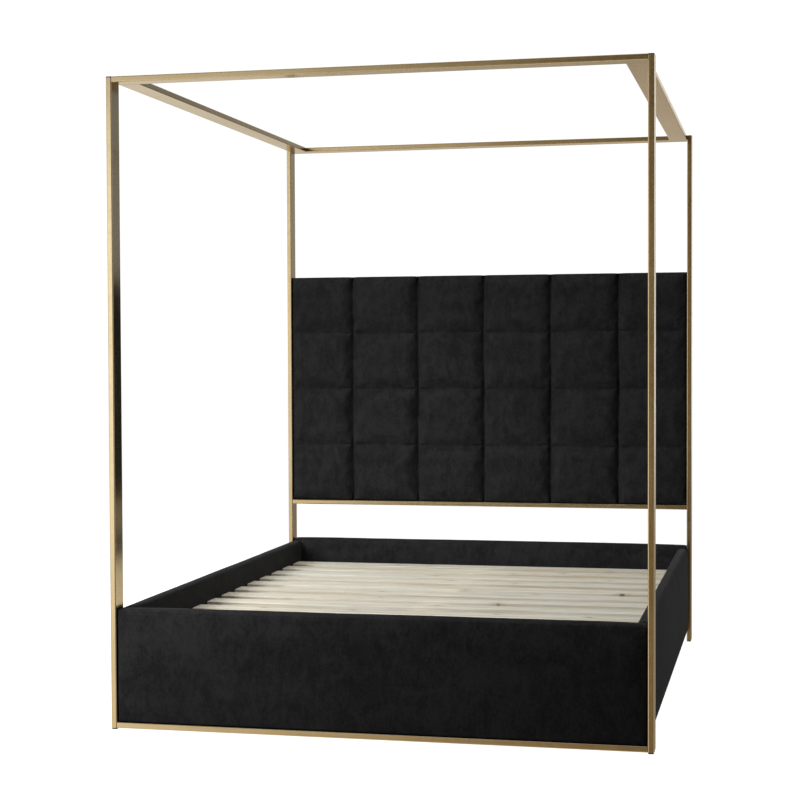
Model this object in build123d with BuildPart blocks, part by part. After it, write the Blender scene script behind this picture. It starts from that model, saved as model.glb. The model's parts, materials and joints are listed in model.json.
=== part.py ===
"""Four poster canopy bed: flat metal tube frame, upholstered box and headboard, wooden slats.

Millimetres. The origin is the centre of the footprint on the floor. +X points to the right
seen from the foot of the bed, +Y points from the foot to the head, +Z points up.
In the names, left is -X, right is +X, foot is -Y and head is +Y.
"""

import os

from build123d import *

os.makedirs("parts", exist_ok=True)

# ---------------------------------------------------------------- overall size
bed_width = 1650.0
bed_length = 2170.0
bed_height = 2000.0

# ---------------------------------------------------------------- flat tube of the frame
tube_thin = 18.0
tube_wide = 68.0
tube_wall = 1.5
tube_corner = 3.0
glide_height = 4.0
glide_margin = 1.0
cap_height = 3.0
cap_edge = 0.8
plug_depth = 14.0
plug_gap = 0.2
plug_wall = 1.5

# ---------------------------------------------------------------- sleeves that join the tubes
sleeve_length = 60.0
sleeve_wall = 3.0
sleeve_gap = 0.2
sleeve_corner = 1.0
sleeve_screw_from_end = 40.0
sleeve_screw_offset = 18.0

# ---------------------------------------------------------------- headboard
headboard_rail_bottom = 524.0
headboard_top = 1464.0
pad_front_inset = 4.0
pad_rear_inset = 10.0
pad_border = 4.0
pad_edge_radius = 9.0
panel_thickness = 15.0
back_cover_thickness = 2.0
tuft_columns = 6
tuft_rows = 4
seam_width = 6.0
seam_depth = 5.0

# ---------------------------------------------------------------- upholstered box
board_gap = 1.0
end_board_inset = 4.0
end_board_thickness = 62.0
end_core_thickness = 25.0
footboard_top = 371.0
head_rail_top = 380.0
side_rail_top = 371.0
box_bottom = 40.0
side_rail_inset = 12.5
side_rail_thickness = 43.5
side_core_thickness = 22.0
core_end_padding = 4.0
core_top_padding = 30.0
board_edge_radius = 17.0

# ---------------------------------------------------------------- slats and what carries them
slat_count = 12
slat_pitch = 165.0
slat_width = 95.0
slat_thickness = 20.0
slat_top = 291.0
slat_end_gap = 2.0
slat_edge_radius = 3.0
slat_screw_from_end = 13.0
ledge_width = 30.0
ledge_height = 35.0
ledge_end_gap = 12.0
ledge_screw_count = 5
ledge_screw_pitch = 450.0
beam_width = 60.0
beam_height = 40.0
beam_end_gap = 4.0
leg_side = 40.0
leg_from_centre = 500.0
leg_glide_height = 6.0
leg_glide_radius = 17.0
hanger_plate = 3.0
hanger_width = 90.0
hanger_height = 56.0
hanger_seat_length = 40.0
hanger_screw_offset = 38.0
hanger_screw_height = 256.0

# ---------------------------------------------------------------- corner brackets of the box
bracket_plate = 4.0
bracket_leg = 60.0
bracket_height = 120.0
bracket_bottom = 90.0
bracket_screw_offset = 35.0
bracket_screw_heights = [120.0, 180.0]

# ---------------------------------------------------------------- screws, bolts and their places
recess_radius_share = 0.45
recess_depth_share = 0.35
box_bolt_heights = [110.0, 290.0]
headboard_bolt_heights = [700.0, 1300.0]
board_screw_lines = [-600.0, -200.0, 200.0, 600.0]

# ---------------------------------------------------------------- derived positions
post_x = (bed_width - tube_thin) / 2
post_y = (bed_length - tube_wide) / 2
post_inner_x = bed_width / 2 - tube_thin
post_inner_y = bed_length / 2 - tube_wide
post_length = bed_height - cap_height - glide_height
canopy_rail_z = bed_height - tube_thin / 2
canopy_side_x = post_inner_x - tube_wide / 2
bottom_rail_z = glide_height + tube_thin / 2
headboard_rail_z = headboard_rail_bottom + tube_thin / 2
pad_bottom = headboard_rail_bottom + tube_thin
footboard_bottom = glide_height + tube_thin
board_half_span = post_inner_x - board_gap
end_board_y = bed_length / 2 - end_board_inset - end_board_thickness / 2
end_board_inner_y = end_board_y - end_board_thickness / 2
side_rail_x = bed_width / 2 - side_rail_inset - side_rail_thickness / 2
side_rail_inner_x = side_rail_x - side_rail_thickness / 2
slat_bottom = slat_top - slat_thickness
ledge_x = side_rail_inner_x - ledge_width / 2
ledge_z = slat_bottom - ledge_height / 2
pad_front_y = post_inner_y + pad_front_inset
pad_rear_y = bed_length / 2 - pad_rear_inset
panel_y = pad_rear_y - back_cover_thickness - panel_thickness / 2
beam_bottom = slat_bottom - beam_height

sides = {"left": -1, "right": 1}
ends = {"foot": -1, "head": 1}


def keep(piece, label):
    """Names one finished piece and writes it to its own STEP file."""
    piece.part.label = label
    export_step(piece.part, f"parts/{label}.step")


def flat_tube(middle, direction, wide_side, length):
    """A hollow flat tube centred on middle that runs along direction."""
    with BuildPart() as tube:
        with BuildSketch(Plane(origin=middle, x_dir=wide_side, z_dir=direction)):
            RectangleRounded(tube_wide, tube_thin, tube_corner)
            offset(amount=-tube_wall, mode=Mode.SUBTRACT)
        extrude(amount=length / 2, both=True)
    return tube


def end_plug(tube_end, outward, head_height, margin):
    """A plastic plug: its head closes the end of a post and its hollow stem sits in the tube."""
    stem_inset = tube_wall + plug_gap
    with BuildPart() as plug:
        with BuildSketch(Plane(origin=tube_end, x_dir=(0, 1, 0), z_dir=outward)):
            RectangleRounded(tube_wide - 2 * margin, tube_thin - 2 * margin, tube_corner - margin / 2)
        extrude(amount=head_height)
        outer_face = plug.faces().sort_by(Axis(tube_end, outward))[-1]
        fillet(outer_face.edges(), cap_edge)
        with BuildSketch(Plane(origin=tube_end, x_dir=(0, 1, 0), z_dir=outward)):
            RectangleRounded(tube_wide - 2 * stem_inset, tube_thin - 2 * stem_inset, sleeve_corner)
            offset(amount=-plug_wall, mode=Mode.SUBTRACT)
        extrude(amount=-plug_depth)
    return plug


def screw_blank(head_radius, shank_radius, length):
    """A countersunk screw without its key recess. Its flat head lies on XY and it points to -Z."""
    with BuildPart() as blank:
        with BuildSketch(Plane.XZ):
            with BuildLine():
                Polyline(
                    (0, 0),
                    (head_radius, 0),
                    (shank_radius, shank_radius - head_radius),
                    (shank_radius, shank_radius - length),
                    (0, -length),
                    close=True,
                )
            make_face()
        revolve(axis=Axis.Z)
    return blank


def screw_group(blank, places):
    """One screw at each place, each with a hexagonal key recess. The places face outwards."""
    head_radius = blank.part.bounding_box().max.X
    with BuildPart() as group:
        with Locations(*places):
            add(blank.part)
        with BuildSketch(*places):
            RegularPolygon(head_radius * recess_radius_share, 6)
        extrude(amount=-head_radius * recess_depth_share, mode=Mode.SUBTRACT)
    return group


def drilled(piece, blank, places):
    """The same piece with holes that fit these screws."""
    with BuildPart() as result:
        add(piece.part)
        with Locations(*places):
            add(blank.part, mode=Mode.SUBTRACT)
    return result


def block(middle, size):
    """A plain rectangular piece centred on middle."""
    with BuildPart() as piece:
        with Locations(middle):
            Box(*size)
    return piece


def board_cover(bottom_line, thickness, height, length):
    """Padding with a rounded top edge, drawn on the plane bottom_line and run along its normal."""
    with BuildPart() as cover:
        with BuildSketch(bottom_line) as profile:
            Rectangle(thickness, height, align=(Align.CENTER, Align.MIN))
            top_corners = profile.vertices().group_by(Axis.Z)[-1]
            fillet(top_corners, board_edge_radius)
        extrude(amount=length / 2, both=True)
    return cover


def hollowed(cover, core):
    """The padding with the room that its core fills."""
    with BuildPart() as result:
        add(cover.part)
        add(core.part, mode=Mode.SUBTRACT)
    return result


# ---------------------------------------------------------------- screws
sleeve_screw = screw_blank(head_radius=4.5, shank_radius=2.5, length=10)
board_screw = screw_blank(head_radius=4.5, shank_radius=2.5, length=60)
slat_screw = screw_blank(head_radius=4, shank_radius=2, length=40)
ledge_screw = screw_blank(head_radius=4, shank_radius=2, length=55)
bracket_screw = screw_blank(head_radius=4, shank_radius=2, length=35)
post_bolt = screw_blank(head_radius=6, shank_radius=3, length=75)
leg_bolt = screw_blank(head_radius=6, shank_radius=3, length=110)

slat_rows = [slat_pitch * (row - (slat_count - 1) / 2) for row in range(slat_count)]
ledge_rows = [ledge_screw_pitch * (row - (ledge_screw_count - 1) / 2) for row in range(ledge_screw_count)]
signs = (-1, 1)

# Two screws hold each sleeve: on top of the canopy, and under the two lower rails.
sleeve_screw_x = post_inner_x - sleeve_screw_from_end
sleeve_screw_y = post_inner_y - sleeve_screw_from_end
canopy_screw_places = []
lower_screw_places = []
for side in signs:
    for across in (-sleeve_screw_offset, sleeve_screw_offset):
        for end in signs:
            cross_rail_spot = (side * sleeve_screw_x, end * post_y + across, bed_height)
            side_rail_spot = (side * canopy_side_x + across, end * sleeve_screw_y, bed_height)
            canopy_screw_places.append(Plane(cross_rail_spot, z_dir=(0, 0, 1)))
            canopy_screw_places.append(Plane(side_rail_spot, z_dir=(0, 0, 1)))
        bottom_rail_spot = (side * sleeve_screw_x, -post_y + across, glide_height)
        headboard_rail_spot = (side * sleeve_screw_x, post_y + across, headboard_rail_bottom)
        lower_screw_places.append(Plane(bottom_rail_spot, z_dir=(0, 0, -1)))
        lower_screw_places.append(Plane(headboard_rail_spot, z_dir=(0, 0, -1)))
sleeve_screw_places = canopy_screw_places + lower_screw_places

# The footboard and the headboard stand on their rails, screwed from below.
footboard_screw_places = []
headboard_screw_places = []
for x in board_screw_lines:
    footboard_screw_places.append(Plane((x, -end_board_y, glide_height), z_dir=(0, 0, -1)))
    headboard_screw_places.append(Plane((x, panel_y, headboard_rail_bottom), z_dir=(0, 0, -1)))

# Bolts run from the outer face of each post into the end of the core or panel beside it.
box_bolt_places = []
headboard_bolt_places = []
for side in signs:
    outer_x = side * bed_width / 2
    for end in signs:
        for height in box_bolt_heights:
            box_bolt_places.append(Plane((outer_x, end * end_board_y, height), z_dir=(side, 0, 0)))
    for height in headboard_bolt_heights:
        headboard_bolt_places.append(Plane((outer_x, panel_y, height), z_dir=(side, 0, 0)))
post_bolt_places = box_bolt_places + headboard_bolt_places

# Each corner bracket is screwed to the side rail and to the footboard or head rail.
side_plate_x = side_rail_inner_x - bracket_plate
end_plate_y = end_board_inner_y - bracket_plate
bracket_screw_places = []
for side in signs:
    for end in signs:
        for height in bracket_screw_heights:
            on_side_rail = (side * side_plate_x, end * (end_board_inner_y - bracket_screw_offset), height)
            on_end_board = (side * (side_rail_inner_x - bracket_screw_offset), end * end_plate_y, height)
            bracket_screw_places.append(Plane(on_side_rail, z_dir=(-side, 0, 0)))
            bracket_screw_places.append(Plane(on_end_board, z_dir=(0, -end, 0)))

# The hangers of the centre beam use the same screws.
hanger_face_y = end_board_inner_y - hanger_plate
for end in signs:
    for across in (-hanger_screw_offset, hanger_screw_offset):
        spot = (across, end * hanger_face_y, hanger_screw_height)
        bracket_screw_places.append(Plane(spot, z_dir=(0, -end, 0)))

# Screws hold the ledges to the side rails, and each slat to both ledges.
ledge_inner_x = side_rail_inner_x - ledge_width
slat_screw_x = side_rail_inner_x - slat_end_gap - slat_screw_from_end
ledge_screw_places = []
slat_screw_places = []
for side in signs:
    for row in ledge_rows:
        ledge_screw_places.append(Plane((side * ledge_inner_x, row, ledge_z), z_dir=(-side, 0, 0)))
    for row in slat_rows:
        slat_screw_places.append(Plane((side * slat_screw_x, row, slat_top), z_dir=(0, 0, 1)))

leg_bolt_places = [Plane((0, y, slat_bottom), z_dir=(0, 0, 1)) for y in (-leg_from_centre, leg_from_centre)]

keep(screw_group(sleeve_screw, sleeve_screw_places), "sleeve_screws")
keep(screw_group(board_screw, footboard_screw_places + headboard_screw_places), "board_screws")
keep(screw_group(slat_screw, slat_screw_places), "slat_screws")
keep(screw_group(ledge_screw, ledge_screw_places), "ledge_screws")
keep(screw_group(bracket_screw, bracket_screw_places), "bracket_screws")
keep(screw_group(post_bolt, post_bolt_places), "post_bolts")
keep(screw_group(leg_bolt, leg_bolt_places), "leg_bolts")

# ---------------------------------------------------------------- posts, their caps and their glides
for end_name, end in ends.items():
    for side_name, side in sides.items():
        corner = f"{end_name}_{side_name}"
        x = side * post_x
        y = end * post_y
        post = flat_tube((x, y, glide_height + post_length / 2), (0, 0, 1), (0, 1, 0), post_length)
        keep(drilled(post, post_bolt, post_bolt_places), f"post_{corner}")
        cap = end_plug((x, y, bed_height - cap_height), (0, 0, 1), cap_height, 0)
        keep(cap, f"post_cap_{corner}")
        glide = end_plug((x, y, glide_height), (0, 0, -1), glide_height, glide_margin)
        keep(glide, f"post_glide_{corner}")

# ---------------------------------------------------------------- rails of the frame
cross_rail_length = 2 * post_inner_x
side_rail_length = 2 * post_inner_y

for end_name, end in ends.items():
    rail = flat_tube((0, end * post_y, canopy_rail_z), (1, 0, 0), (0, 1, 0), cross_rail_length)
    keep(drilled(rail, sleeve_screw, sleeve_screw_places), f"canopy_rail_{end_name}")

for side_name, side in sides.items():
    rail = flat_tube((side * canopy_side_x, 0, canopy_rail_z), (0, 1, 0), (1, 0, 0), side_rail_length)
    keep(drilled(rail, sleeve_screw, sleeve_screw_places), f"canopy_rail_{side_name}")

bottom_rail = flat_tube((0, -post_y, bottom_rail_z), (1, 0, 0), (0, 1, 0), cross_rail_length)
bottom_rail = drilled(bottom_rail, sleeve_screw, lower_screw_places)
keep(drilled(bottom_rail, board_screw, footboard_screw_places), "foot_bottom_rail")

headboard_rail = flat_tube((0, post_y, headboard_rail_z), (1, 0, 0), (0, 1, 0), cross_rail_length)
headboard_rail = drilled(headboard_rail, sleeve_screw, lower_screw_places)
keep(drilled(headboard_rail, board_screw, headboard_screw_places), "headboard_rail")

# ---------------------------------------------------------------- sleeves inside the rail ends
sleeve_inset = 2 * (tube_wall + sleeve_gap)
with BuildPart() as sleeve:
    with BuildSketch(Plane.XY):
        RectangleRounded(tube_wide - sleeve_inset, tube_thin - sleeve_inset, sleeve_corner)
        offset(amount=-sleeve_wall, mode=Mode.SUBTRACT)
    extrude(amount=sleeve_length)

cross_rail_lines = [
    (-post_y, canopy_rail_z),
    (post_y, canopy_rail_z),
    (-post_y, bottom_rail_z),
    (post_y, headboard_rail_z),
]
cross_sleeve_places = [
    Plane((side * post_inner_x, y, z), x_dir=(0, 1, 0), z_dir=(-side, 0, 0))
    for side in signs
    for y, z in cross_rail_lines
]
side_sleeve_places = [
    Plane((side * canopy_side_x, end * post_inner_y, canopy_rail_z), x_dir=(1, 0, 0), z_dir=(0, -end, 0))
    for side in signs
    for end in signs
]
for label, places in (("cross_rail_sleeves", cross_sleeve_places), ("side_rail_sleeves", side_sleeve_places)):
    with BuildPart() as sleeves:
        with Locations(*places):
            add(sleeve.part)
    keep(drilled(sleeves, sleeve_screw, sleeve_screw_places), label)

# ---------------------------------------------------------------- headboard
pad_height = headboard_top - pad_bottom
pad_middle_z = (headboard_top + pad_bottom) / 2
pad_thickness = pad_rear_y - pad_front_y
panel_size = (2 * (board_half_span - pad_border), panel_thickness, pad_height - 2 * pad_border)
panel = block((0, panel_y, pad_middle_z), panel_size)
panel_screws_drilled = drilled(panel, board_screw, headboard_screw_places)
keep(drilled(panel_screws_drilled, post_bolt, headboard_bolt_places), "headboard_panel")

back_cover_y = pad_rear_y - back_cover_thickness / 2
back_cover = block((0, back_cover_y, pad_middle_z), (panel_size[0], back_cover_thickness, panel_size[2]))
keep(back_cover, "headboard_back_cover")

column_width = 2 * board_half_span / tuft_columns
row_height = pad_height / tuft_rows
pad_front_plane = Plane((0, pad_front_y, pad_middle_z), x_dir=(1, 0, 0), z_dir=(0, -1, 0))
with BuildPart() as pad:
    with BuildSketch(pad_front_plane):
        Rectangle(2 * board_half_span, pad_height)
    extrude(amount=-pad_thickness)
    front_face = pad.faces().sort_by(Axis.Y)[0]
    fillet(front_face.edges(), pad_edge_radius)
    with BuildSketch(pad_front_plane):
        with GridLocations(column_width, 0, tuft_columns - 1, 1):
            Rectangle(seam_width, pad_height)
        with GridLocations(0, row_height, 1, tuft_rows - 1):
            Rectangle(2 * board_half_span, seam_width)
    extrude(amount=-seam_depth, mode=Mode.SUBTRACT)
    add(panel.part, mode=Mode.SUBTRACT)
    add(back_cover.part, mode=Mode.SUBTRACT)
pad_screws_drilled = drilled(pad, board_screw, headboard_screw_places)
keep(drilled(pad_screws_drilled, post_bolt, headboard_bolt_places), "headboard_pad")

# ---------------------------------------------------------------- footboard and head rail of the box
end_boards = [("footboard", -1, footboard_bottom, footboard_top), ("head_rail", 1, box_bottom, head_rail_top)]
for label, end, bottom, top in end_boards:
    board_y = end * end_board_y
    core_height = top - bottom - core_top_padding
    core_length = 2 * (board_half_span - core_end_padding)
    core = block((0, board_y, bottom + core_height / 2), (core_length, end_core_thickness, core_height))
    bottom_line = Plane((0, board_y, bottom), x_dir=(0, 1, 0), z_dir=(1, 0, 0))
    cover = board_cover(bottom_line, end_board_thickness, top - bottom, 2 * board_half_span)
    cover = hollowed(cover, core)
    for blank, places in (
        (post_bolt, box_bolt_places),
        (board_screw, footboard_screw_places),
        (bracket_screw, bracket_screw_places),
    ):
        core = drilled(core, blank, places)
        cover = drilled(cover, blank, places)
    keep(core, f"{label}_core")
    keep(cover, f"{label}_upholstery")

# ---------------------------------------------------------------- side rails of the box
for side_name, side in sides.items():
    rail_x = side * side_rail_x
    height = side_rail_top - box_bottom
    core_height = height - core_top_padding
    core_length = 2 * (post_inner_y - board_gap - core_end_padding)
    core = block((rail_x, 0, box_bottom + core_height / 2), (side_core_thickness, core_length, core_height))
    bottom_line = Plane((rail_x, 0, box_bottom), x_dir=(1, 0, 0), z_dir=(0, -1, 0))
    cover = board_cover(bottom_line, side_rail_thickness, height, 2 * (post_inner_y - board_gap))
    cover = hollowed(cover, core)
    for blank, places in ((ledge_screw, ledge_screw_places), (bracket_screw, bracket_screw_places)):
        core = drilled(core, blank, places)
        cover = drilled(cover, blank, places)
    keep(core, f"side_rail_core_{side_name}")
    keep(cover, f"side_rail_upholstery_{side_name}")

    ledge_length = 2 * (end_board_inner_y - ledge_end_gap)
    ledge = block((side * ledge_x, 0, ledge_z), (ledge_width, ledge_length, ledge_height))
    ledge = drilled(ledge, ledge_screw, ledge_screw_places)
    keep(drilled(ledge, slat_screw, slat_screw_places), f"slat_ledge_{side_name}")

# ---------------------------------------------------------------- corner brackets inside the box
with BuildPart() as corner_brackets:
    with BuildSketch(Plane.XY.offset(bracket_bottom)):
        for side in signs:
            for end in signs:
                long_x = side * (side_rail_inner_x - bracket_leg / 2)
                long_y = end * (end_board_inner_y - bracket_leg / 2)
                with Locations((long_x, end * (end_board_inner_y - bracket_plate / 2))):
                    Rectangle(bracket_leg, bracket_plate)
                with Locations((side * (side_rail_inner_x - bracket_plate / 2), long_y)):
                    Rectangle(bracket_plate, bracket_leg)
    extrude(amount=bracket_height)
keep(drilled(corner_brackets, bracket_screw, bracket_screw_places), "corner_brackets")

# ---------------------------------------------------------------- slats
for number, row in enumerate(slat_rows, start=1):
    with BuildPart() as slat:
        with BuildSketch(Plane.XY.offset(slat_bottom)):
            with Locations((0, row)):
                Rectangle(2 * (side_rail_inner_x - slat_end_gap), slat_width)
        extrude(amount=slat_thickness)
        fillet(slat.edges().filter_by(Axis.X), slat_edge_radius)
    own_screws = [place for place in slat_screw_places if abs(place.origin.Y - row) < slat_width / 2]
    keep(drilled(slat, slat_screw, own_screws), f"slat_{number:02d}")

# ---------------------------------------------------------------- centre beam, its hangers and its legs
beam_length = 2 * (end_board_inner_y - beam_end_gap)
beam = block((0, 0, slat_bottom - beam_height / 2), (beam_width, beam_length, beam_height))
keep(drilled(beam, leg_bolt, leg_bolt_places), "centre_beam")

with BuildPart() as beam_hangers:
    for end in signs:
        plate_z = beam_bottom - hanger_plate + hanger_height / 2
        with Locations((0, end * (end_board_inner_y - hanger_plate / 2), plate_z)):
            Box(hanger_width, hanger_plate, hanger_height)
        seat_y = end * (end_board_inner_y - hanger_seat_length / 2)
        with Locations((0, seat_y, beam_bottom - hanger_plate / 2)):
            Box(beam_width, hanger_seat_length, hanger_plate)
keep(drilled(beam_hangers, bracket_screw, bracket_screw_places), "beam_hangers")

for end_name, end in ends.items():
    leg_y = end * leg_from_centre
    leg_height = beam_bottom - leg_glide_height
    leg = block((0, leg_y, leg_glide_height + leg_height / 2), (leg_side, leg_side, leg_height))
    keep(drilled(leg, leg_bolt, leg_bolt_places), f"centre_leg_{end_name}")
    with BuildPart() as leg_glide:
        with BuildSketch(Plane.XY):
            with Locations((0, leg_y)):
                Circle(leg_glide_radius)
        extrude(amount=leg_glide_height)
        fillet(leg_glide.faces().sort_by(Axis.Z)[0].edges(), cap_edge)
    keep(leg_glide, f"centre_leg_glide_{end_name}")
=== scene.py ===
import json
import math

import bmesh
import bpy
import numpy as np
from mathutils import Matrix, Vector


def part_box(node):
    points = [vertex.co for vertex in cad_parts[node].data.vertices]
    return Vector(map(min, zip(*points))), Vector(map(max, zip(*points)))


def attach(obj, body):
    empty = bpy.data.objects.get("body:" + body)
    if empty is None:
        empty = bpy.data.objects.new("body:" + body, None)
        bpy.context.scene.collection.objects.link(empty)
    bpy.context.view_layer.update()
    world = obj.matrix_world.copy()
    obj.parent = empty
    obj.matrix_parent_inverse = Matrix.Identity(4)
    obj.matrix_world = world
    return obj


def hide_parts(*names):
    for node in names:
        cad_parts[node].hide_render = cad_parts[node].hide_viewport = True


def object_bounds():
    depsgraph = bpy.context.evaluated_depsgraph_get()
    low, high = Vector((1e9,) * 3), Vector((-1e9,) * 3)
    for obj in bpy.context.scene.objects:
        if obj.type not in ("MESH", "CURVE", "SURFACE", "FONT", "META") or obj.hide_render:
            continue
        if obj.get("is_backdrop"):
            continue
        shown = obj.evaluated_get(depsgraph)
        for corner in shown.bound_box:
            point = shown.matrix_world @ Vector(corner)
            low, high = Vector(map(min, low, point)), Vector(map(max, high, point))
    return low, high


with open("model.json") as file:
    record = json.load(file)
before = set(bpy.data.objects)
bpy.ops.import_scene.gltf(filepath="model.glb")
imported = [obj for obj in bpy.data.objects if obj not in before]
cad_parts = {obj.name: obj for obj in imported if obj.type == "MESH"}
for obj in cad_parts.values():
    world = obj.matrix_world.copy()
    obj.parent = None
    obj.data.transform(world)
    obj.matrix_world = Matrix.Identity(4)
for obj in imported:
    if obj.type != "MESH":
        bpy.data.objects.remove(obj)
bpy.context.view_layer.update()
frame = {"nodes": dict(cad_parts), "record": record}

MM = 0.001
TINY = 0.01 * MM
scene = bpy.context.scene
scene.view_settings.view_transform = "Standard"


# ---------------------------------------------------------------- node helpers
class Nodes:
    """Short ways to add the nodes of a material or a world."""

    def __init__(self, tree):
        self.tree = tree
        self.place = tree.nodes.new("ShaderNodeTexCoord")

    def set(self, node, **values):
        for key, value in values.items():
            node.inputs[key].default_value = value

    def link(self, start, node, socket):
        self.tree.links.new(start, node.inputs[socket])

    def stretched(self, scale, coordinates="Object"):
        """Coordinates in metres, or 0 to 1 across the piece, multiplied along each axis."""
        node = self.tree.nodes.new("ShaderNodeMapping")
        node.inputs["Scale"].default_value = scale
        self.link(self.place.outputs[coordinates], node, "Vector")
        return node.outputs["Vector"]

    def noise(self, vector, scale=1.0, detail=3.0, rough=0.5, distortion=0.0):
        node = self.tree.nodes.new("ShaderNodeTexNoise")
        self.set(node, Scale=scale, Detail=detail, Roughness=rough, Distortion=distortion)
        self.link(vector, node, "Vector")
        return node.outputs["Fac"]

    def spots(self, vector):
        """Distance to the nearest of some scattered points, in the X and Y of the coordinates."""
        node = self.tree.nodes.new("ShaderNodeTexVoronoi")
        node.voronoi_dimensions = "2D"
        node.feature = "F1"
        self.set(node, Scale=1.0, Randomness=1.0)
        self.link(vector, node, "Vector")
        return node.outputs["Distance"]

    def wave(self, vector, scale, distortion=0.0, detail=2.0, direction="X", profile="SIN"):
        node = self.tree.nodes.new("ShaderNodeTexWave")
        node.bands_direction = direction
        node.wave_profile = profile
        self.set(node, Scale=scale, Distortion=distortion, Detail=detail)
        self.link(vector, node, "Vector")
        return node.outputs["Fac"]

    def span(self, value, low, high, to_low=0.0, to_high=1.0):
        """The value's stretch from low to high, moved smoothly to the stretch from to_low to to_high."""
        node = self.tree.nodes.new("ShaderNodeMapRange")
        node.interpolation_type = "SMOOTHSTEP"
        ends = {"From Min": low, "From Max": high, "To Min": to_low, "To Max": to_high}
        for socket, number in ends.items():
            node.inputs[socket].default_value = number
        self.link(value, node, "Value")
        return node.outputs["Result"]

    def math(self, operation, a, b=None):
        node = self.tree.nodes.new("ShaderNodeMath")
        node.operation = operation
        for index, value in enumerate((a, b)):
            if isinstance(value, (int, float)):
                node.inputs[index].default_value = value
            elif value is not None:
                self.link(value, node, index)
        return node.outputs[0]

    def times(self, a, b):
        return self.math("MULTIPLY", a, b)

    def axes(self, vector):
        node = self.tree.nodes.new("ShaderNodeSeparateXYZ")
        self.link(vector, node, "Vector")
        return node.outputs["X"], node.outputs["Y"], node.outputs["Z"]

    def mix(self, share, a, b):
        """Colour a where share is 0 and colour b where it is 1."""
        node = self.tree.nodes.new("ShaderNodeMix")
        node.data_type = "RGBA"
        self.link(share, node, "Factor")
        for name, value in (("A", a), ("B", b)):
            socket = next(s for s in node.inputs if s.name == name and s.type == "RGBA")
            if isinstance(value, tuple):
                socket.default_value = (*value, 1)
            else:
                self.tree.links.new(value, socket)
        return next(s for s in node.outputs if s.type == "RGBA")


class Shader(Nodes):
    """A node material with its principled shader."""

    def __init__(self, name, base, roughness, metallic=0.0, **fixed):
        self.material = bpy.data.materials.new(name)
        self.material.use_nodes = True
        super().__init__(self.material.node_tree)
        self.bsdf = self.tree.nodes["Principled BSDF"]
        self.set(self.bsdf, **{"Base Color": (*base, 1), "Roughness": roughness, "Metallic": metallic})
        self.set(self.bsdf, **{key.replace("_", " "): value for key, value in fixed.items()})

    def colour(self, value):
        self.link(value, self.bsdf, "Base Color")

    def roughness(self, value):
        self.link(value, self.bsdf, "Roughness")

    def bump(self, *layers):
        """Each layer is (height, distance in metres, strength). They add up."""
        below = None
        for height, distance, strength in layers:
            node = self.tree.nodes.new("ShaderNodeBump")
            self.set(node, Distance=distance, Strength=strength)
            self.link(height, node, "Height")
            if below is not None:
                self.link(below, node, "Normal")
            below = node.outputs["Normal"]
        self.link(below, self.bsdf, "Normal")


# ---------------------------------------------------------------- materials
def brass(axis):
    """Satin brass plating, brushed along the tube, with a painted highlight in patches along its edges."""
    s = Shader(f"satin_brass_{'xyz'[axis]}", (0.63, 0.50, 0.295), 0.23, 1.0, Anisotropic=0.2)
    along = [260.0, 260.0, 260.0]
    along[axis] = 2.5
    streaks = s.noise(s.stretched(along), detail=3.0, rough=0.6)
    clouds = s.noise(s.stretched((3, 3, 3)), detail=4.0, rough=0.55)
    marks = s.noise(s.stretched((45, 45, 45)), detail=5.0, rough=0.65)
    whole = s.axes(s.stretched((1, 1, 1), coordinates="Generated"))
    # The tube's long edges are painted paler in patches: a painted highlight.
    highlight_rims = [s.span(s.math("ABSOLUTE", s.math("SUBTRACT", share, 0.5)), 0.43, 0.50) for share in whole]
    del highlight_rims[axis]
    edge = s.times(s.times(*highlight_rims), s.span(marks, 0.40, 0.58))
    tone = s.mix(s.span(clouds, 0.32, 0.68), (0.60, 0.47, 0.27), (0.655, 0.53, 0.32))
    tone = s.mix(s.times(s.span(streaks, 0.35, 0.7), 0.20), tone, (0.72, 0.60, 0.41))
    tone = s.mix(s.times(edge, 0.35), tone, (0.80, 0.72, 0.56))
    s.colour(tone)
    grain = s.span(streaks, 0.3, 0.7, 0.165, 0.215)
    s.roughness(s.math("ADD", grain, s.span(marks, 0.35, 0.7, -0.015, 0.025)))
    s.bump((streaks, 0.0002, 0.04), (marks, 0.0003, 0.015))
    return s.material


def velvet():
    """Black cotton velvet: short nap that lies in patches, with a faint pale sheen."""
    s = Shader("black_velvet", (0.015, 0.015, 0.0152), 0.95, Sheen_Weight=0.05, Sheen_Roughness=0.38,
               Sheen_Tint=(0.66, 0.66, 0.70, 1), Specular_IOR_Level=0.08)
    swirl = s.noise(s.stretched((5, 5, 9)), detail=5.0, rough=0.62, distortion=0.9)
    brushed = s.noise(s.stretched((34, 34, 17)), detail=5.0, rough=0.65, distortion=0.7)
    crushed = s.noise(s.stretched((150, 150, 90)), detail=4.0, rough=0.7)
    pile = s.noise(s.stretched((2600, 2600, 2600)), detail=2.0, rough=0.7)
    rows = s.wave(s.stretched((1, 1, 1)), 420.0, distortion=1.6, direction="Z")
    nap = s.math("ADD", s.times(swirl, 0.30), s.times(brushed, 0.37))
    nap = s.math("ADD", nap, s.times(crushed, 0.33))
    tone = s.mix(s.span(nap, 0.38, 0.62), (0.0085, 0.0085, 0.0088), (0.0245, 0.0245, 0.025))
    tone = s.mix(s.times(s.span(pile, 0.35, 0.7), 0.35), tone, (0.036, 0.036, 0.0375))
    s.colour(tone)
    s.roughness(s.span(nap, 0.3, 0.7, 0.86, 1.0))
    s.bump((nap, 0.005, 0.30), (pile, 0.0006, 0.35), (rows, 0.0003, 0.10))
    return s.material


SLAT_PITCH = 0.165


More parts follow.
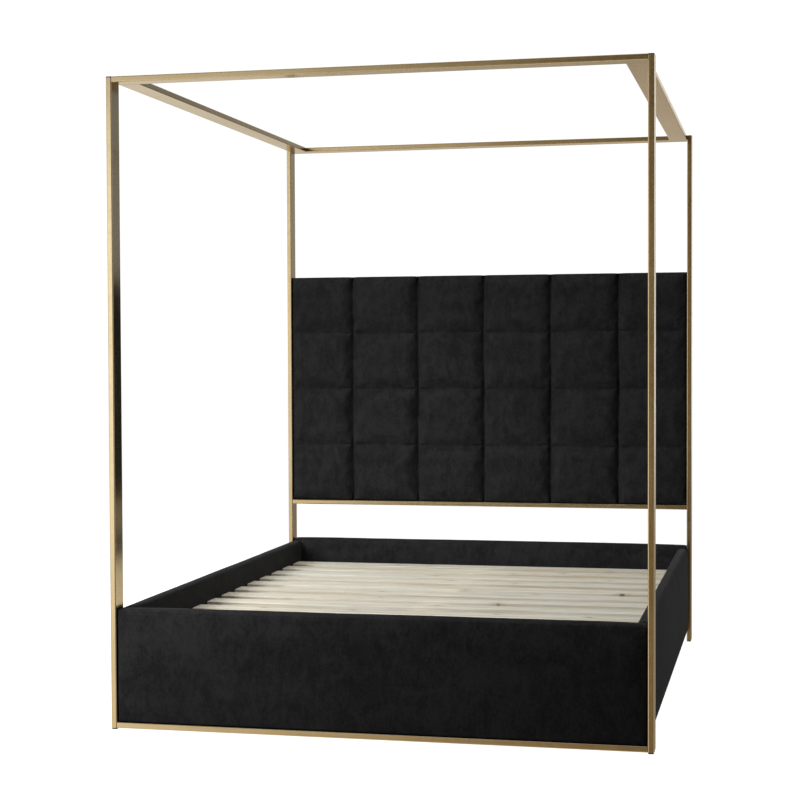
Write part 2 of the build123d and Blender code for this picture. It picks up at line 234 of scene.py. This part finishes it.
def pine(name, pale, dark, knot, tightness=1.0):
    """Planed pine with its grain along X, a few small knots and a tone of its own for each slat."""
    s = Shader(name, pale, 0.6, Specular_IOR_Level=0.35)
    across = s.axes(s.stretched((1, 1, 1)))[1]
    slat = s.tree.nodes.new("ShaderNodeTexWhiteNoise")
    slat.noise_dimensions = "1D"
    s.link(s.math("FLOOR", s.times(across, 1 / SLAT_PITCH)), slat, "W")
    own = slat.outputs["Value"]
    grain = s.noise(s.stretched((1.1, 62 * tightness, 62)), detail=6.0, rough=0.68, distortion=0.25)
    rings = s.wave(s.stretched((0.45, 30 * tightness, 30)), 1.0, distortion=6.0, detail=4.0, direction="Y")
    fibre = s.noise(s.stretched((9, 700, 700)), detail=3.0, rough=0.7)
    lines = s.noise(s.stretched((1.3, 190, 190)), detail=4.0, rough=0.6)
    stain = s.noise(s.stretched((1.5, 17, 17)), detail=5.0, rough=0.6)
    knots = s.spots(s.stretched((2.6, 5.5, 1)))
    shade = tuple(0.72 * c for c in dark)
    tone = s.mix(s.span(grain, 0.44, 0.64), pale, dark)
    tone = s.mix(s.times(s.span(rings, 0.62, 0.98), 0.45), tone, dark)
    tone = s.mix(s.times(s.span(lines, 0.55, 0.66), 0.80), tone, shade)
    tone = s.mix(s.times(s.span(stain, 0.54, 0.67), 0.70), tone, dark)
    tone = s.mix(s.times(own, 0.28), tone, tuple(0.78 * c for c in pale))
    tone = s.mix(s.times(s.span(knots, 0.02, 0.11, 1.0, 0.0), 0.45), tone, shade)
    tone = s.mix(s.times(s.span(knots, 0.012, 0.032, 1.0, 0.0), 0.85), tone, knot)
    s.colour(tone)
    s.roughness(s.span(fibre, 0.3, 0.7, 0.52, 0.72))
    s.bump((fibre, 0.0005, 0.25), (grain, 0.0008, 0.15))
    return s.material


def plywood():
    """Plywood: thin plies on the edges, a calm veneer on the faces."""
    s = Shader("plywood", (0.60, 0.48, 0.33), 0.7, Specular_IOR_Level=0.3)
    plies = s.wave(s.stretched((1, 1, 1)), 95.0, distortion=0.5, direction="Y", profile="TRI")
    veneer = s.noise(s.stretched((3, 40, 40)), detail=4.0, distortion=0.5)
    tone = s.mix(s.span(veneer, 0.35, 0.65), (0.66, 0.54, 0.38), (0.50, 0.38, 0.25))
    s.colour(s.mix(s.times(s.span(plies, 0.4, 0.6), 0.35), tone, (0.36, 0.26, 0.16)))
    s.roughness(s.span(veneer, 0.3, 0.7, 0.62, 0.8))
    s.bump((veneer, 0.0006, 0.2))
    return s.material


def black_plastic():
    """Moulded plastic with a fine spark-eroded texture."""
    s = Shader("black_plastic", (0.015, 0.015, 0.015), 0.5)
    pits = s.noise(s.stretched((1800, 1800, 1800)), detail=2.0)
    scuffs = s.noise(s.stretched((90, 90, 90)), detail=5.0, rough=0.7)
    s.colour(s.mix(s.span(scuffs, 0.4, 0.7), (0.012, 0.012, 0.0125), (0.030, 0.030, 0.031)))
    s.roughness(s.span(scuffs, 0.3, 0.7, 0.40, 0.62))
    s.bump((pits, 0.0003, 0.3))
    return s.material


def powder_coat():
    """Black powder coat with its orange-peel surface."""
    s = Shader("black_powder_coat", (0.03, 0.03, 0.032), 0.5)
    peel = s.noise(s.stretched((420, 420, 420)), detail=2.0)
    dust = s.noise(s.stretched((40, 40, 40)), detail=5.0, rough=0.7)
    s.colour(s.mix(s.span(dust, 0.45, 0.75), (0.024, 0.024, 0.026), (0.055, 0.053, 0.050)))
    s.roughness(s.span(dust, 0.3, 0.7, 0.42, 0.6))
    s.bump((peel, 0.0006, 0.35))
    return s.material


def zinc():
    """Zinc-plated screws, slightly blue and yellow in patches, with turning marks."""
    s = Shader("zinc_plated_steel", (0.32, 0.31, 0.29), 0.38, 1.0)
    patches = s.noise(s.stretched((300, 300, 300)), detail=3.0)
    marks = s.noise(s.stretched((2500, 2500, 400)), detail=2.0)
    s.colour(s.mix(s.span(patches, 0.35, 0.65), (0.30, 0.29, 0.28), (0.42, 0.39, 0.33)))
    s.roughness(s.span(marks, 0.3, 0.7, 0.30, 0.5))
    s.bump((marks, 0.0002, 0.2))
    return s.material


def dust_cover():
    """Black non-woven cloth, embossed with a fine grid of dots."""
    s = Shader("black_dust_cover", (0.02, 0.02, 0.02), 0.9, Sheen_Weight=0.15, Sheen_Roughness=0.5)
    across = s.wave(s.stretched((1, 1, 1)), 160.0, direction="X")
    up = s.wave(s.stretched((1, 1, 1)), 160.0, direction="Z")
    fibres = s.noise(s.stretched((500, 500, 500)), detail=4.0, rough=0.7, distortion=1.0)
    dots = s.span(s.times(across, up), 0.55, 0.8)
    s.colour(s.mix(s.span(fibres, 0.35, 0.7), (0.016, 0.016, 0.016), (0.034, 0.034, 0.035)))
    s.roughness(s.span(fibres, 0.3, 0.7, 0.8, 0.95))
    s.bump((dots, 0.0004, 0.5), (fibres, 0.0003, 0.4))
    return s.material


BRASS = [brass(axis) for axis in range(3)]
VELVET = velvet()
DUST_COVER = dust_cover()
ZINC = zinc()
MATERIAL_OF_SLOT = {
    "velvet": VELVET,
    "lining": DUST_COVER,
    "slat_wood": pine("slat_pine", (0.80, 0.785, 0.69), (0.58, 0.49, 0.36), (0.20, 0.115, 0.06)),
    "frame_wood": pine("frame_softwood", (0.70, 0.60, 0.44), (0.52, 0.40, 0.25), (0.22, 0.13, 0.07), 0.8),
    "board_wood": plywood(),
    "black_plastic": black_plastic(),
    "bracket_steel": powder_coat(),
    "fastener_steel": ZINC,
}


def box(node):
    low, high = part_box(node)
    return np.array(low), np.array(high)


def dress(target, material):
    target.data.materials.clear()
    target.data.materials.append(material)


for part in frame["record"]["subparts"]:
    node, slot = part["node"], part["material_slot"]
    if slot == "satin_brass":
        low, high = box(node)
        dress(frame["nodes"][node], BRASS[int(np.argmax(high - low))])
    else:
        dress(frame["nodes"][node], MATERIAL_OF_SLOT[slot])


# ---------------------------------------------------------------- mesh helpers
def smooth_wave(points, seed, length):
    """Soft random values, mostly between -1 and 1, one per point, that change over about this length."""
    draw = np.random.default_rng(seed)
    total = np.zeros(len(points))
    waves = 9
    for _ in range(waves):
        direction = draw.normal(size=3)
        direction /= np.linalg.norm(direction)
        turns = 2 * math.pi / (length * draw.uniform(0.7, 1.5))
        total += np.sin(points @ direction * turns + draw.uniform(0, 6.28))
    return total / math.sqrt(waves) / 1.5


def add_mesh(name, points, faces):
    mesh = bpy.data.meshes.new(name)
    mesh.from_pydata(points, [], faces)
    mesh.polygons.foreach_set("use_smooth", [True] * len(mesh.polygons))
    piece = bpy.data.objects.new(name, mesh)
    scene.collection.objects.link(piece)
    return piece


def lattice_solid(name, lines, filled):
    """A closed quad mesh round the filled cells of a lattice of planes, and the places of its points."""
    counts = [len(line) for line in lines]
    cells = np.pad(filled, 1)
    quads = []
    for axis in range(3):
        first, second = [other for other in range(3) if other != axis]
        solid = np.moveaxis(cells, axis, 0)
        for near, far, positive in ((solid[1:], solid[:-1], False), (solid[:-1], solid[1:], True)):
            plane, u, v = np.nonzero(near & ~far)
            corners = []
            for du, dv in ((0, 0), (1, 0), (1, 1), (0, 1)):
                index = [None] * 3
                index[axis], index[first], index[second] = plane, u - 1 + du, v - 1 + dv
                corners.append(np.ravel_multi_index(index, counts))
            quad = np.stack(corners, axis=1)
            quads.append(quad[:, ::-1] if positive == (axis == 1) else quad)
    quads = np.concatenate(quads)
    used, faces = np.unique(quads, return_inverse=True)
    places = np.stack(np.unravel_index(used, counts), axis=1)
    points = np.stack([np.asarray(lines[axis])[places[:, axis]] for axis in range(3)], axis=1)
    return add_mesh(name, points.tolist(), faces.reshape(quads.shape).tolist()), points


def read_points(mesh, name="co"):
    values = np.empty(len(mesh.vertices) * 3, np.float32)
    mesh.vertices.foreach_get(name, values)
    return values.reshape(-1, 3)


def write_points(piece, points):
    piece.data.vertices.foreach_set("co", points.astype(np.float32).ravel())
    piece.data.update()


def spaced(low, high, step, extra=()):
    """Planes from low to high about a step apart, with the extra planes among them."""
    planes = list(np.linspace(low, high, max(2, round((high - low) / step) + 1)))
    near = 0.35 * step
    planes = [p for p in planes if all(abs(p - e) > near for e in extra) or p in (planes[0], planes[-1])]
    return sorted(set(planes) | set(extra))


def inside(line, low, high):
    """Which cells of a line of planes lie between low and high."""
    middle = (np.asarray(line)[1:] + np.asarray(line)[:-1]) / 2
    return (middle > low) & (middle < high)


def on_plane(values, place):
    return np.abs(values - place) < TINY


def share_along(values, low, high):
    """-1 at low, 0 half way and 1 at high."""
    return 2 * (values - low) / (high - low) - 1


def from_edge(points, low, high, axes):
    """Distance to the nearest of the box's faces across these axes."""
    return np.minimum.reduce([gap for a in axes for gap in (points[:, a] - low[a], high[a] - points[:, a])])


def round_edge(points, outer, a, edge_a, side_a, b, edge_b, side_b, radius):
    """Rounds the edge of the faces a = edge_a and b = edge_b. A side is 1 for a high face, -1 for a low one."""
    va = side_a * (points[:, a] - edge_a) + radius
    vb = side_b * (points[:, b] - edge_b) + radius
    near = outer & (va > 0) & (vb > 0)
    length = np.hypot(va[near], vb[near])
    points[near, a] = edge_a - side_a * radius + side_a * va[near] * radius / length
    points[near, b] = edge_b - side_b * radius + side_b * vb[near] * radius / length


# ---------------------------------------------------------------- upholstery
SETTLE_FRAMES = 14


def settle(piece, held, pressure, slack, cap):
    """Blows the padding up under its cover by a cloth simulation, with the held points pinned."""
    start = read_points(piece.data)
    group = piece.vertex_groups.new(name="held")
    group.add(np.nonzero(held)[0].tolist(), 1.0, "ADD")
    cloth = piece.modifiers.new("cloth", "CLOTH")
    settings = cloth.settings
    settings.quality = 3
    settings.mass = 0.02
    settings.vertex_group_mass = "held"
    settings.use_pressure = True
    settings.uniform_pressure_force = pressure
    settings.effector_weights.gravity = 0
    settings.shrink_min = -slack
    settings.tension_stiffness = 12
    settings.compression_stiffness = 12
    settings.shear_stiffness = 4
    settings.bending_stiffness = 0.4
    settings.air_damping = 3
    cloth.point_cache.frame_start = 1
    cloth.point_cache.frame_end = SETTLE_FRAMES
    for frame_number in range(1, SETTLE_FRAMES + 1):
        scene.frame_set(frame_number)
    blown = piece.evaluated_get(bpy.context.evaluated_depsgraph_get()).to_mesh()
    travel = read_points(blown) - start
    length = np.linalg.norm(travel, axis=1, keepdims=True)
    travel *= np.minimum(1, cap / np.maximum(length, 1e-9))
    piece.modifiers.remove(cloth)
    piece.vertex_groups.clear()
    scene.frame_set(1)
    write_points(piece, start + travel)


def finish_padding(piece, node):
    subdivision = piece.modifiers.new("subdivision", "SUBSURF")
    subdivision.levels = subdivision.render_levels = 1
    dress(piece, VELVET)
    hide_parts(node)
    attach(piece, "root")


COVER_STEP = 10 * MM
COVER_STEP_ACROSS = 6 * MM
COVER_TOP_RADIUS = 17 * MM
COVER_BOTTOM_RADIUS = 5 * MM
COVER_END_RADIUS = 9 * MM
COVER_SEAM_BELOW_TOP = 10.5 * MM
COVER_SEAM_DEPTH = 2.2 * MM
FACE_BULGE = 2.0 * MM
TOP_CROWN = 1.5 * MM


def cover_board(node, core_node, along, seed):
    """A velvet cover padded round a board: open below, with a boxed top strip sewn on along both edges."""
    low, high = box(node)
    core_low, core_high = box(core_node)
    across = 1 - along
    seam = high[2] - COVER_SEAM_BELOW_TOP
    lines = [None] * 3
    lines[along] = spaced(low[along], high[along], COVER_STEP, (core_low[along], core_high[along]))
    core_sides = (core_low[across], core_high[across])
    lines[across] = spaced(low[across], high[across], COVER_STEP_ACROSS, core_sides)
    lines[2] = spaced(low[2], high[2], COVER_STEP, (seam - 2 * MM, seam, seam + 2 * MM, core_high[2]))
    pocket = [inside(lines[axis], core_low[axis], core_high[axis]) for axis in range(3)]
    pocket[2] = inside(lines[2], low[2] - 1, core_high[2])
    filled = ~(pocket[0][:, None, None] & pocket[1][None, :, None] & pocket[2][None, None, :])
    piece, points = lattice_solid(f"{node}_velvet", lines, filled)
    flat = points.copy()
    outer = from_edge(flat, low, high, (0, 1, 2)) < TINY
    below = on_plane(flat[:, 2], low[2])
    length_share = share_along(flat[:, along], low[along], high[along])
    height_share = share_along(flat[:, 2], low[2], high[2])
    width_share = share_along(flat[:, across], low[across], high[across])
    # Both faces bulge a little towards their middles, and the top strip is slightly crowned.
    sides = ((-1, low[across]), (1, high[across]))
    ends = ((-1, low[along]), (1, high[along]))
    for side, edge in sides:
        face = outer & on_plane(flat[:, across], edge)
        bulge = (1 - length_share[face] ** 8) * (1 - np.abs(height_share[face]) ** 3)
        points[face, across] += side * FACE_BULGE * bulge
    face = on_plane(flat[:, 2], high[2])
    points[face, 2] += TOP_CROWN * (1 - width_share[face] ** 2) * (1 - length_share[face] ** 8)
    for side, edge in sides:
        round_edge(points, outer, across, edge, side, 2, high[2], 1, COVER_TOP_RADIUS)
        round_edge(points, outer, across, edge, side, 2, low[2], -1, COVER_BOTTOM_RADIUS)
        for end_side, end in ends:
            round_edge(points, outer, across, edge, side, along, end, end_side, COVER_END_RADIUS)
    for end_side, end in ends:
        round_edge(points, outer, along, end, end_side, 2, high[2], 1, COVER_END_RADIUS)
    write_points(piece, points)
    # The cover is stapled below and sewn at the seam, so both are held while the padding settles.
    on_seam = outer & on_plane(flat[:, 2], seam) & ~below
    on_end = np.abs(np.abs(length_share) - 1) < 1e-4
    settle(piece, ~outer | below | on_seam | on_end, pressure=0.9, slack=0.0, cap=4 * MM)
    points = read_points(piece.data).astype(float)
    normals = read_points(piece.data, "normal").astype(float)
    soft = outer & ~below
    ripple = 0.5 * MM * smooth_wave(flat, seed, 0.50) + 0.2 * MM * smooth_wave(flat, seed + 1, 0.11)
    points[soft] += normals[soft] * (ripple[soft] * (1 - np.abs(length_share[soft]) ** 10))[:, None]
    points[on_seam] -= normals[on_seam] * COVER_SEAM_DEPTH
    # The two ends stay between the posts.
    points[:, along] = np.clip(points[:, along], low[along], high[along])
    write_points(piece, points)
    finish_padding(piece, node)


# Distances from a seam to the planes of the mesh beside it, up to the middle of a square.
SEAM_STEPS = [0, 2.5, 5.5, 9, 13.5, 19, 26, 34, 43, 53, 64, 76, 89, 103, 118]


def square_lines(low, high, count):
    """Planes across a row of sewn squares, close together by the seams."""
    pitch = (high - low) / count
    half = pitch / 2
    offsets = [step * MM for step in SEAM_STEPS if step * MM < half - 5 * MM] + [half]
    lines = {low, high}
    for number in range(count):
        start = low + number * pitch
        lines |= {start + offset for offset in offsets} | {start + pitch - offset for offset in offsets}
    lines = sorted(lines)
    kept = [lines[0]]
    for line in lines[1:]:
        if line - kept[-1] > 0.5 * MM:
            kept.append(line)
    kept[-1] = high
    return kept


def to_seam(values, low, high, count):
    """Distance to the nearest of the seams between the squares."""
    pitch = (high - low) / count
    share = (values - low) / pitch
    return np.abs(share - np.clip(np.round(share), 1, count - 1)) * pitch


def fall(distance, reach):
    """1 at a seam and 0 beyond its reach, with the slope of cloth that rolls into a seam."""
    share = np.clip(distance / reach, 0, 1)
    return 1 - np.sqrt(np.clip(1 - (1 - share) ** 2, 0, 1))


def hump(distance, width):
    """1 at no distance, falling smoothly to nothing over about twice the width."""
    return np.exp(-((distance / width) ** 2))


def rise_inwards(share):
    return 1 - (1 - share) ** 2


COLUMNS, ROWS = 6, 4
PAD_RADIUS = 13 * MM
UPRIGHT_DEPTH, UPRIGHT_REACH = 13 * MM, 50 * MM
CREASE_DEPTH, CREASE_WIDTH = 9 * MM, 6.5 * MM
LEVEL_DEPTH_MM, LEVEL_REACH = 4.5, 26 * MM
CROSSING_DEPTH_MM, CROSSING_WIDTH = 8.0, 42 * MM
SWELL = 8.0 * MM
RIM = 30 * MM
TOP_DIP, TOP_DIP_WIDTH, TOP_DIP_REACH = 6.0 * MM, 11 * MM, 45 * MM
# How far each upright seam is left of an even spacing, from the left edge to the right one.
SEAMS_PULLED_MM = (0, 12, 7.5, 4.5, 2, 0, 0)


def headboard():
    """The padded headboard, six squares wide and four high, wrapped round its panel."""
    node = "headboard_pad"
    low, high = box(node)
    panel_low, panel_high = box("headboard_panel")
    lines = [
        sorted(set(square_lines(low[0], high[0], COLUMNS)) | {panel_low[0], panel_high[0]}),
        spaced(low[1], high[1], 6 * MM, (panel_low[1], panel_high[1])),
        sorted(set(square_lines(low[2], high[2], ROWS)) | {panel_low[2], panel_high[2]}),
    ]
    pocket = [inside(lines[axis], panel_low[axis], panel_high[axis]) for axis in (0, 2)]
    deep = inside(lines[1], panel_low[1], high[1] + 1)
    filled = ~(pocket[0][:, None, None] & deep[None, :, None] & pocket[1][None, None, :])
    piece, points = lattice_solid("headboard_velvet", lines, filled)
    flat = points.copy()
    front = on_plane(flat[:, 1], low[1])
    edge = from_edge(flat, low, high, (0, 2))
    outer = front | (edge < TINY)
    from_upright = to_seam(flat[:, 0], low[0], high[0], COLUMNS)
    from_level = to_seam(flat[:, 2], low[2], high[2], ROWS)
    # Upright seams are pulled deep. The level ones are shallow, and deepest where the two kinds cross.
    upright = UPRIGHT_DEPTH * fall(from_upright, UPRIGHT_REACH)
    upright += CREASE_DEPTH * hump(from_upright, CREASE_WIDTH)
    crossing = CROSSING_DEPTH_MM * hump(from_upright, CROSSING_WIDTH)
    level = (LEVEL_DEPTH_MM + crossing) * MM * fall(from_level, LEVEL_REACH)
    share_x = np.clip(from_upright / (0.5 * (high[0] - low[0]) / COLUMNS), 0, 1)
    share_z = np.clip(from_level / (0.5 * (high[2] - low[2]) / ROWS), 0, 1)
    swell = SWELL * rise_inwards(share_x) * (0.55 + 0.45 * rise_inwards(share_z))
    rim = np.clip(edge / RIM, 0, 1)
    points[front, 1] += (np.maximum(upright, level) - swell * rim ** 0.5)[front]
    # The top edge dips at each upright seam.
    top = on_plane(flat[:, 2], high[2])
    to_front = np.clip((high[1] - flat[:, 1]) / TOP_DIP_REACH, 0, 1)
    dip = TOP_DIP * hump(from_upright, TOP_DIP_WIDTH) * to_front
    points[top, 2] -= dip[top]
    for axis in (0, 2):
        for side, place in ((-1, low[axis]), (1, high[axis])):
            round_edge(points, outer, axis, place, side, 1, low[1], -1, PAD_RADIUS)
    write_points(piece, points)
    sewn = front & ((from_upright < TINY) | (from_level < TINY))
    settle(piece, ~front | sewn | (edge < 4 * MM), pressure=3.0, slack=0.015, cap=7 * MM)
    points = read_points(piece.data).astype(float)
    # The cover is pulled towards the left, so the left squares are a little narrower than the right ones.
    even = np.linspace(low[0], high[0], COLUMNS + 1)
    pulled = np.interp(points[:, 0], even, even - np.array(SEAMS_PULLED_MM) * MM)
    points[:, 0] = np.where(np.abs(points[:, 0]) < panel_high[0], pulled, points[:, 0])
    # Nothing sewn by hand runs dead straight: the seams wander a few millimetres.
    fade = np.clip(edge / (60 * MM), 0, 1)
    points[:, 0] += 3.2 * MM * fade * smooth_wave(flat * (0.4, 0, 1), 11, 0.30) * front
    points[:, 2] += 2.6 * MM * fade * smooth_wave(flat * (1, 0, 0.4), 12, 0.33) * front
    puckers = smooth_wave(flat * (0.5, 0, 1.6), 13, 0.045) * np.exp(-from_upright / (22 * MM))
    points[:, 1] += (1.3 * MM * puckers * fade + 0.8 * MM * smooth_wave(flat, 14, 0.16) * fade) * front
    write_points(piece, points)
    finish_padding(piece, node)


BACK_CLOTH_STEP = 14 * MM
CLOTH_BELOW_FACE = 0.4 * MM


def back_cover():
    """The cloth stapled over the back of the headboard panel."""
    node = "headboard_back_cover"
    low, high = box(node)
    lines = [
        spaced(low[0], high[0], BACK_CLOTH_STEP),
        [low[1] + 0.2 * MM, high[1] - CLOTH_BELOW_FACE],
        spaced(low[2], high[2], BACK_CLOTH_STEP),
    ]
    filled = np.ones([len(line) - 1 for line in lines], bool)
    piece, points = lattice_solid("headboard_back_cloth", lines, filled)
    loose = np.clip(from_edge(points, low, high, (0, 2)) / (30 * MM), 0, 1)
    points[:, 1] += 0.25 * MM * loose * smooth_wave(points, 21, 0.25)
    write_points(piece, points)
    dress(piece, DUST_COVER)
    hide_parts(node)
    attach(piece, "root")


STAPLE_INSET, STAPLE_PITCH = 9 * MM, 58 * MM
STAPLE_REACH, STAPLE_WIRE = 5 * MM, 0.5 * MM
# Along the staple, in reaches, and out of the cloth, in millimetres.
STAPLE_BEND = [(-1, -1.0), (-1, 0.1), (-0.8, 0.5), (0.8, 0.5), (1, 0.1), (1, -1.0)]


def back_staples():
    """Wire staples round the edge of the back cloth."""
    low, high = box("headboard_back_cover")
    vertices, faces = [], []
    sides = 6
    outward = np.array((0, 1.0, 0))
    for axis, other in ((0, 2), (2, 0)):
        direction = np.eye(3)[axis]
        across = np.cross(direction, outward)
        first, last = low[axis] + 30 * MM, high[axis] - 30 * MM
        number = round((last - first) / STAPLE_PITCH)
        for step in range(number + 1):
            for edge in (low[other] + STAPLE_INSET, high[other] - STAPLE_INSET):
                place = np.zeros(3)
                place[1] = high[1] - CLOTH_BELOW_FACE
                place[axis], place[other] = first + (last - first) * step / number, edge
                rings = []
                for bend, (reaches, out) in enumerate(STAPLE_BEND):
                    middle = place + direction * STAPLE_REACH * reaches + outward * out * MM
                    second = outward if bend in (2, 3) else direction
                    ring = []
                    for corner in range(sides):
                        angle = 2 * math.pi * corner / sides
                        ring.append(len(vertices))
                        spoke = math.cos(angle) * second + math.sin(angle) * across
                        vertices.append(middle + STAPLE_WIRE * spoke)
                    rings.append(ring)
                for ring, following in zip(rings, rings[1:]):
                    for corner in range(sides):
                        after = (corner + 1) % sides
                        faces.append((ring[corner], ring[after], following[after], following[corner]))
                faces += [tuple(reversed(rings[0])), tuple(rings[-1])]
    staples = add_mesh("back_cloth_staples", [tuple(v) for v in vertices], faces)
    work = bmesh.new()
    work.from_mesh(staples.data)
    bmesh.ops.recalc_face_normals(work, faces=work.faces)
    work.to_mesh(staples.data)
    work.free()
    dress(staples, ZINC)
    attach(staples, "root")


headboard()
cover_board("footboard_upholstery", "footboard_core", 0, 31)
cover_board("head_rail_upholstery", "head_rail_core", 0, 41)
cover_board("side_rail_upholstery_left", "side_rail_core_left", 1, 51)
cover_board("side_rail_upholstery_right", "side_rail_core_right", 1, 61)
back_cover()
back_staples()


# ---------------------------------------------------------------- camera, floor and light
def add_camera():
    """The camera stands off the foot of the bed to its right, at 1.16 m, and looks almost level."""
    data = bpy.data.cameras.new("camera")
    data.sensor_width = 36.0
    data.lens = 83.46
    data.shift_x = 0.092
    data.shift_y = 0.0121
    camera = bpy.data.objects.new("camera", data)
    scene.collection.objects.link(camera)
    yaw, pitch, roll = 0.24385, -0.0323, -0.0052
    forward = Vector((-math.sin(yaw) * math.cos(pitch), math.cos(yaw) * math.cos(pitch), math.sin(pitch)))
    level = Vector((math.cos(yaw), math.sin(yaw), 0))
    upright = level.cross(forward)
    right = level * math.cos(roll) + upright * math.sin(roll)
    up = -level * math.sin(roll) + upright * math.cos(roll)
    turn = Matrix((right, up, -forward)).transposed().to_4x4()
    camera.matrix_world = Matrix.Translation((1.1938, -6.4349, 1.1645)) @ turn
    scene.camera = camera


def add_softbox(name, middle, aim, width, height, power, spread):
    """A rectangular light, in metres, watts and degrees, that neither the camera nor the brass sees."""
    data = bpy.data.lights.new(name, "AREA")
    data.shape = "RECTANGLE"
    data.size = width
    data.size_y = height
    data.energy = power
    data.spread = math.radians(spread)
    light = bpy.data.objects.new(name, data)
    scene.collection.objects.link(light)
    light.location = middle
    light.rotation_euler = (Vector(aim) - Vector(middle)).to_track_quat("-Z", "Y").to_euler()
    light.visible_glossy = False
    light.visible_camera = False


def add_floor():
    """A pale floor that comes out white, except a little close under the bed."""
    reach = 60.0
    mesh = bpy.data.meshes.new("floor")
    corners = [(-reach, -reach, 0), (reach, -reach, 0), (reach, reach, 0), (-reach, reach, 0)]
    mesh.from_pydata(corners, [], [(0, 1, 2, 3)])
    floor = bpy.data.objects.new("floor", mesh)
    scene.collection.objects.link(floor)
    s = Shader("studio_floor", (0.5, 0.5, 0.5), 0.8, Specular_IOR_Level=0.0,
               Emission_Color=(1, 1, 1, 1), Emission_Strength=0.96)
    speckle = s.noise(s.stretched((2, 2, 2)), detail=3.0)
    s.colour(s.mix(speckle, (0.49, 0.49, 0.49), (0.51, 0.51, 0.51)))
    dress(floor, s.material)
    floor.visible_glossy = False
    floor.visible_diffuse = False
    floor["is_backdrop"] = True


# Colours round the horizon that the brass reflects, by bearing in degrees: 0 is towards the foot of
# the bed and 90 towards its right side. First those at eye level, then those of the floor.
LEVEL = [
    (-180, (1.15, 1.1, 1.0)), (-165, (0.9, 0.88, 0.84)), (-140, (0.9, 0.9, 0.9)),
    (-90, (0.62, 0.62, 0.62)), (-50, (0.8, 0.8, 0.8)), (-30, (1.5, 1.52, 1.55)),
    (-21, (1.7, 1.68, 1.62)), (-15, (1.36, 1.32, 1.24)), (-11, (0.78, 0.7, 0.55)),
    (-7, (0.27, 0.2, 0.11)), (-3, (0.1, 0.06, 0.022)), (30, (0.05, 0.035, 0.02)),
    (65, (0.35, 0.35, 0.35)), (100, (0.6, 0.6, 0.6)), (135, (0.24, 0.24, 0.25)),
    (160, (0.19, 0.2, 0.215)), (169, (0.4, 0.38, 0.35)), (175, (1.1, 1.05, 0.95)),
    (180, (1.15, 1.1, 1.0)),
]
FLOOR_AHEAD = [
    (-180, (0.8, 0.78, 0.74)), (-45, (0.9, 0.86, 0.78)), (-22, (1.05, 0.98, 0.84)),
    (-13, (0.4, 0.32, 0.21)), (-5, (0.2, 0.15, 0.09)), (30, (0.22, 0.18, 0.13)),
    (90, (0.6, 0.58, 0.55)), (180, (0.8, 0.78, 0.74)),
]
FLOOR_BEHIND = [
    (-180, (0.35, 0.28, 0.19)), (-171, (0.51, 0.44, 0.33)), (-158, (0.78, 0.73, 0.63)),
    (-120, (0.8, 0.78, 0.74)), (0, (0.8, 0.78, 0.74)), (120, (0.45, 0.43, 0.4)),
    (158, (0.2, 0.17, 0.13)), (180, (0.35, 0.28, 0.19)),
]
ABOVE_AHEAD = (0.06, 0.045, 0.03)
OVERHEAD = (0.75, 0.75, 0.76)
UNDERFOOT = (0.80, 0.78, 0.74)
AMBIENT = (0.08, 0.08, 0.08)
BACKDROP = (1.05, 1.05, 1.05)


def add_world():
    """White to the camera. The brass reflects a bright front left, and a dark surround of the camera."""
    world = bpy.data.worlds.new("studio")
    world.use_nodes = True
    scene.world = world
    s = Nodes(world.node_tree)
    x, y, height = s.axes(s.place.outputs["Generated"])
    to_foot = s.times(y, -1.0)
    bearing = s.math("ARCTAN2", x, to_foot)
    turn = s.math("ADD", s.times(bearing, 1 / (2 * math.pi)), 0.5)

    def ring(stops):
        ramp = s.tree.nodes.new("ShaderNodeValToRGB")
        ramp.color_ramp.interpolation = "EASE"
        elements = ramp.color_ramp.elements
        for degrees, _ in stops[1:-1]:
            elements.new(degrees / 360 + 0.5)
        elements[0].position, elements[len(elements) - 1].position = 0.0, 1.0
        for element, (_, colour) in zip(elements, stops):
            element.color = (*colour, 1)
        s.link(turn, ramp, "Fac")
        return ramp.outputs["Color"]

    down = s.times(height, -1.0)
    ahead = s.span(to_foot, 0.0, 0.4)
    behind = s.span(y, 0.0, 0.4)
    reflected = s.mix(s.times(s.times(s.span(height, 0.10, 0.17), ahead), 0.82), ring(LEVEL), ABOVE_AHEAD)
    reflected = s.mix(s.times(s.span(down, 0.0, 0.22), ahead), reflected, ring(FLOOR_AHEAD))
    reflected = s.mix(s.times(s.span(down, 0.02, 0.12), behind), reflected, ring(FLOOR_BEHIND))
    reflected = s.mix(s.span(height, 0.7, 0.95), reflected, OVERHEAD)
    reflected = s.mix(s.span(down, 0.35, 0.8), reflected, UNDERFOOT)
    rays = s.tree.nodes.new("ShaderNodeLightPath")
    seen = s.mix(rays.outputs["Is Glossy Ray"], AMBIENT, reflected)
    seen = s.mix(rays.outputs["Is Camera Ray"], seen, BACKDROP)
    background = s.tree.nodes["Background"]
    s.link(seen, background, "Color")
    s.set(background, Strength=1.0)


add_camera()
add_floor()
add_world()
add_softbox("side_key", (-2.3, -0.9, 2.0), (-1.1, 0.8, 0.8), 2.4, 1.2, 9, 66)
add_softbox("front_key", (-1.95, -2.35, 1.4), (-0.4, -0.6, 0.4), 1.0, 1.0, 20, 90)
add_softbox("top", (0, 0, 4.6), (0, 0, 0), 3.4, 3.4, 86, 170)
add_softbox("back_fill", (-0.3, 4.2, 0.9), (0, 1.0, 0.6), 2.4, 1.0, 20, 90)
add_softbox("right_fill", (3.4, 0.7, 0.20), (0.8, 0.3, 0.2), 2.4, 0.3, 7, 90)
add_softbox("left_fill", (-3.4, 0.7, 0.20), (-0.8, 0.3, 0.2), 2.4, 0.3, 7, 90)

low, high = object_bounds()
